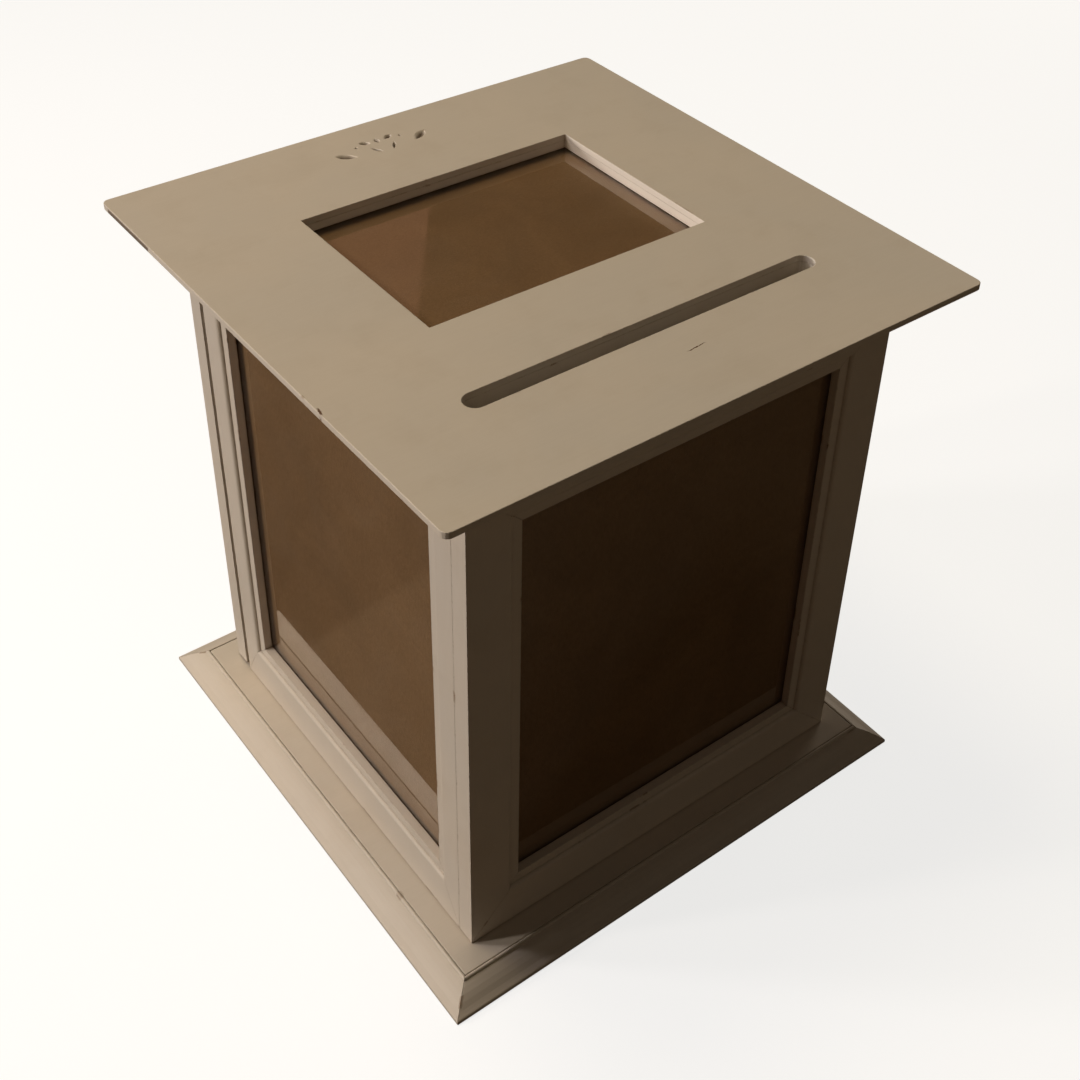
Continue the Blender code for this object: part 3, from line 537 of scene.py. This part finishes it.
def drive(name, mesh, mouth, outwards, body, spin):
    """Puts a screw in its hole, head outwards, riding on a body."""
    obj = bpy.data.objects.new(name, mesh)
    turn = Vector(outwards).to_track_quat("Z", "Y").to_matrix().to_4x4()
    obj.matrix_world = Matrix.Translation(mouth) @ turn @ Matrix.Rotation(spin, 4, "Z")
    bpy.context.scene.collection.objects.link(obj)
    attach(obj, body)


def hinge_screws():
    """Two screws in each of the four leaves."""
    mesh = cross_screw("hinge_screw", HINGE_SCREW, "brass")
    for level in ("lower", "upper"):
        for which, body, out in (("frame", "cabinet", 1), ("door", "door", -1)):
            low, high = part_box(f"{level}_hinge_{which}_leaf")
            y = (low.y + high.y) / 2 - out * LEAF_FACE - out * HINGE_SUNK
            middle = (low.z + high.z) / 2
            for i, up in enumerate((-1, 1)):
                mouth = (low.x + HINGE_HOLE_IN, y, middle + up * HINGE_HOLE_UP)
                name = f"hinge_screw_{level}_{which}_{i}"
                drive(name, mesh, mouth, (0, out, 0), body, 0.4 + 0.7 * i + up)


def plinth_screws():
    """Two screws up through each side of the plinth but the rear one."""
    mesh = cross_screw("plinth_screw", PLINTH_SCREW, "zinc_plate")
    along, edge = PLINTH_HOLE_ALONG, PLINTH_HOLE_OUT
    places = [(x, -edge) for x in (-along, along)]
    places += [(x, y) for x in (-edge, edge) for y in (-along, along)]
    for i, (x, y) in enumerate(places):
        mouth = (x, y, PLINTH_SUNK)
        drive(f"plinth_screw_{i}", mesh, mouth, (0, 0, -1), "cabinet", 0.9 * i)


hinge_screws()
plinth_screws()

# ---- Paint and filler that close the joints ----

# Width of the moulding's stepped inner part, where the mitres get no filler.
STEP_W = 7.6 * MM
MITRE_W = 0.17 * MM
BEAD_ROW = 4 * MM
BEAD_EDGE = 0.03 * MM
BEAD_HOLLOW = 0.06 * MM
BEAD_DEPTH = 1.5 * MM


def filler(name, start, end, across, outward, width, axis, body="cabinet"):
    """A hand wiped bead of filler in a joint: its face is slightly hollow and wavers along its length."""
    across, outward = Vector(across), Vector(outward)
    start, end = Vector(start), Vector(end)
    rows = max(4, int((end - start).length / BEAD_ROW))
    shape = bmesh.new()
    rings = []
    for i in range(rows + 1):
        waver = 0.02 * MM * math.sin(2.3 * i) + 0.015 * MM * math.sin(0.71 * i + 1.0)
        hollow = BEAD_HOLLOW + waver
        section = [(-0.5, BEAD_EDGE), (-0.25, hollow), (0, 1.2 * hollow), (0.25, hollow)]
        section += [(0.5, BEAD_EDGE), (0.5, BEAD_DEPTH), (-0.5, BEAD_DEPTH)]
        centre = start.lerp(end, i / rows)
        points = [centre + across * (u * width) - outward * deep for u, deep in section]
        rings.append([shape.verts.new(p) for p in points])
    close_over(shape, rings)
    mesh = mesh_of(name, shape)
    mesh.materials.append(FINISHES[axis])
    add_piece(name, mesh, body)


def joint_fillers():
    """Beads where the front frame laps the side frames, and round the foot of the frames."""
    front_low, front_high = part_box("front_stile_left")
    right_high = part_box("front_stile_right")[1]
    side_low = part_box("left_stile_front")[0]
    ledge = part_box("plinth_board")[1].z
    seam = (front_high.y + side_low.y) / 2
    seam_w = 0.94 * (side_low.y - front_high.y)
    foot = (ledge + front_low.z) / 2
    foot_w = 0.9 * (front_low.z - ledge)
    front, rear = front_low.y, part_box("left_stile_rear")[1].y
    low, high = front_low.z, front_high.z
    up, back = (0, 0, 1), (0, 1, 0)
    for side, x in (("left", front_low.x), ("right", right_high.x)):
        out = (math.copysign(1, x), 0, 0)
        filler(f"corner_filler_{side}", (x, seam, low), (x, seam, high), back, out, seam_w, "z")
        filler(f"foot_filler_{side}", (x, front, foot), (x, rear, foot), up, out, foot_w, "y")
    start, end = (front_low.x, front, foot), (right_high.x, front, foot)
    filler("foot_filler_front", start, end, up, (0, -1, 0), foot_w, "x")


# Each frame's two stiles, the way from the first to the second, the way that its face looks, and
# its body.
FRAMES = {
    "front": ("stile_left", "stile_right", (1, 0, 0), (0, -1, 0), "cabinet"),
    "left": ("stile_rear", "stile_front", (0, -1, 0), (-1, 0, 0), "cabinet"),
    "right": ("stile_front", "stile_rear", (0, 1, 0), (1, 0, 0), "cabinet"),
    "door": ("stile_hinge", "stile_free", (-1, 0, 0), (0, 1, 0), "door"),
}


def mitre_fillers():
    """Beads in the mitres, on the flat face of each frame."""
    for side, (first, second, along, out, body) in FRAMES.items():
        along, out = Vector(along), Vector(out)
        stiles = [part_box(f"{side}_{part}") for part in (first, second)]
        face = max(v.dot(out) for v in stiles[0])
        for i, stile in enumerate(stiles):
            way = along if i == 0 else -along
            edge = min(v.dot(way) for v in stile)
            stile_w = max(v.dot(way) for v in stile) - edge - STEP_W
            for part, up in (("bottom", 1), ("top", -1)):
                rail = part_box(f"{side}_rail_{part}")
                rail_w = rail[1].z - rail[0].z - STEP_W
                foot = rail[0].z if up > 0 else rail[1].z
                start = way * edge + out * face + Vector((0, 0, foot))
                end = start + way * stile_w + Vector((0, 0, up * rail_w))
                across = (end - start).normalized().cross(out)
                name = f"{side}_mitre_filler_{part}_{i}"
                filler(name, start, end, across, out, MITRE_W, "x", body)


joint_fillers()
mitre_fillers()

# ---- Knob ----

# Distance from the foot and radius, as shares of the knob's length and radius.
KNOB_PROFILE = (
    (0.0, 0.70), (0.05, 0.72), (0.09, 0.66), (0.13, 0.50), (0.28, 0.42), (0.43, 0.52), (0.60, 0.88),
    (0.74, 1.0), (0.87, 0.92), (0.95, 0.66), (0.99, 0.30), (1.0, 0.0),
)
KNOB_STEPS = 64
KNOB_SPAN_STEPS = 6
# The crown is closed by a cap of this share of the knob's radius.
KNOB_CAP = 0.01


def between(a, b, c, d, t):
    """Catmull-Rom: the value at a share t of the way from b to c."""
    curve = (2 * a - 5 * b + 4 * c - d) * t ** 2 + (3 * b - a - 3 * c + d) * t ** 3
    return 0.5 * (2 * b + (c - a) * t + curve)


def spline(points, steps):
    """Points of a smooth curve through the given ones, with steps in each span."""
    made = []
    for i in range(len(points) - 1):
        around = [points[k] for k in (max(i - 1, 0), i, i + 1, min(i + 2, len(points) - 1))]
        for k in range(steps):
            made.append([between(*values, k / steps) for values in zip(*around)])
    return made


def turned_knob():
    """The door's knob, turned smooth in one piece."""
    low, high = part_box("door_knob")
    middle = (low + high) / 2
    radius = (high.x - low.x) / 2
    length = high.y - low.y
    shape = bmesh.new()
    rings = []
    turns = [math.tau * i / KNOB_STEPS for i in range(KNOB_STEPS)]
    for along, wide in spline(KNOB_PROFILE, KNOB_SPAN_STEPS):
        r = max(KNOB_CAP, min(wide, 1.0)) * radius
        y = low.y + min(along, 1.0) * length
        points = [(middle.x + r * math.cos(a), y, middle.z + r * math.sin(a)) for a in turns]
        rings.append([shape.verts.new(p) for p in points])
    close_over(shape, rings)
    mesh = mesh_of("turned_knob", shape)
    mesh.shade_smooth()
    mesh.set_sharp_from_angle(angle=math.radians(40))
    mesh.materials.append(FINISHES["brushed_nickel"])
    obj = add_piece("turned_knob", mesh, "door")
    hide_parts("door_knob")


turned_knob()

# ---- Floor, camera and lights ----

FLOOR_REACH = 6.0
FLOOR_DROP = 0.05 * MM
FLOOR_SEEN = (0.34, 0.34, 0.34)
FLOOR_SEEN_GLOW = 0.80
# What the object gets from the floor: less from the part behind a slanting line, where shade is painted
# on the floor.
FLOOR_NEAR = (0.150, 0.112, 0.076)
FLOOR_PAINTED_SHADE = (0.045, 0.032, 0.022)
FAR_SLANT = 0.13
FAR_FROM = 92 * MM
FAR_TO = 100 * MM

CAMERA_PLACE = (-0.3896, -0.5213, 0.7121)
CAMERA_TURN = (54.218, -1.749, -37.764)
CAMERA_LENS = 52.15
CAMERA_SHIFT = (-0.0368, -0.1541)

ROOM_SEEN = (0.97, 0.97, 0.965)
ROOM_DARK = (0.012, 0.010, 0.008)
# The wall that the gloss mirrors: its colour, the way that leads away from it, and the least rise
# of a ray that meets it.
WALL_TINT = (0.34, 0.16, 0.10)
WALL_AWAY = (0.798, -0.590, 0.121)
WALL_FOOT = 0.2

AIM = (0, 0, 0.15)
# Name, place, size, power and tint.
LAMPS = (
    ("key", (-1.40, 1.02, 1.55), 0.25, 9.6, (1.0, 0.90, 0.88)),
    ("left", (-1.49, 0.54, 0.42), 0.14, 10.6, (1.0, 0.90, 0.81)),
    ("overhead", (-0.3, 0.6, 2.2), 0.8, 15.8, (1.0, 0.85, 0.61)),
    ("front_fill", (0.6, -2.0, 1.0), 2.6, 2.2, (1.0, 0.78, 0.56)),
    ("right_fill", (2.1, 0.9, 0.5), 1.0, 8.0, (1.0, 0.86, 0.70)),
)


def floor():
    """A plain pale floor. It looks pale to the camera only, so that it throws little light up."""
    mesh = bpy.data.meshes.new("floor")
    corners = [(FLOOR_REACH * x, FLOOR_REACH * y, 0) for x, y in ((-1, -1), (1, -1), (1, 1), (-1, 1))]
    mesh.from_pydata(corners, [], [(0, 1, 2, 3)])
    obj = bpy.data.objects.new("floor", mesh)
    obj.location.z = -FLOOR_DROP
    bpy.context.scene.collection.objects.link(obj)
    s = Shader("floor_pale")
    seen = s.node("ShaderNodeLightPath", out=0)
    # Painted shade on the floor behind a slanting line, which the object's rays and the glass's mirror
    # see.
    spot = s.parts(s.place())
    behind = s.math("ADD", spot[1], s.math("MULTIPLY", spot[0], FAR_SLANT))
    near = s.remap(behind, FAR_FROM, FAR_TO, 1.0, 0.0)
    s.set(Base_Color=s.blend(seen, s.blend(near, FLOOR_PAINTED_SHADE, FLOOR_NEAR), FLOOR_SEEN))
    s.set(Emission_Color=(1.0, 0.995, 0.98), Emission_Strength=s.math("MULTIPLY", seen, FLOOR_SEEN_GLOW))
    s.bsdf.inputs["Roughness"].default_value = 0.8
    s.bsdf.inputs["Specular IOR Level"].default_value = 0.0
    mesh.materials.append(s.mat)


def camera():
    """The photo's viewpoint."""
    data = bpy.data.cameras.new("camera")
    data.sensor_width = 36.0
    data.lens = CAMERA_LENS
    data.shift_x, data.shift_y = CAMERA_SHIFT
    data.clip_start = 0.02
    data.clip_end = 50.0
    obj = bpy.data.objects.new("camera", data)
    obj.location = CAMERA_PLACE
    obj.rotation_euler = [math.radians(a) for a in CAMERA_TURN]
    bpy.context.scene.collection.objects.link(obj)
    bpy.context.scene.camera = obj


def lamp(name, place, size, power, tint):
    data = bpy.data.lights.new(name, "AREA")
    data.shape = "DISK"
    data.size = size
    data.energy = power
    data.color = tint
    obj = bpy.data.objects.new(name, data)
    obj.location = place
    obj.rotation_euler = (Vector(AIM) - Vector(place)).to_track_quat("-Z", "Y").to_euler()
    bpy.context.scene.collection.objects.link(obj)


def world():
    """Pale to the camera, nearly dark to the object, with one warm wall that only the gloss mirrors."""
    made = bpy.data.worlds.new("studio")
    made.use_nodes = True
    n = Nodes(made.node_tree)
    path = n.node("ShaderNodeLightPath").node.outputs
    way = n.node("ShaderNodeTexCoord", out=0)
    before = n.math("LESS_THAN", n.dot(way, WALL_AWAY), 0.0)
    above = n.math("GREATER_THAN", n.dot(way, (0, 0, 1)), WALL_FOOT)
    wall = n.math("MULTIPLY", n.math("MULTIPLY", before, above), path["Is Glossy Ray"])
    colour = n.blend(path["Is Camera Ray"], n.blend(wall, ROOM_DARK, WALL_TINT), ROOM_SEEN)
    n.feed(n.tree.nodes["Background"].inputs["Color"], colour)
    bpy.context.scene.world = made


floor()
camera()
world()
for lamp_settings in LAMPS:
    lamp(*lamp_settings)
bpy.context.scene.view_settings.view_transform = "Standard"
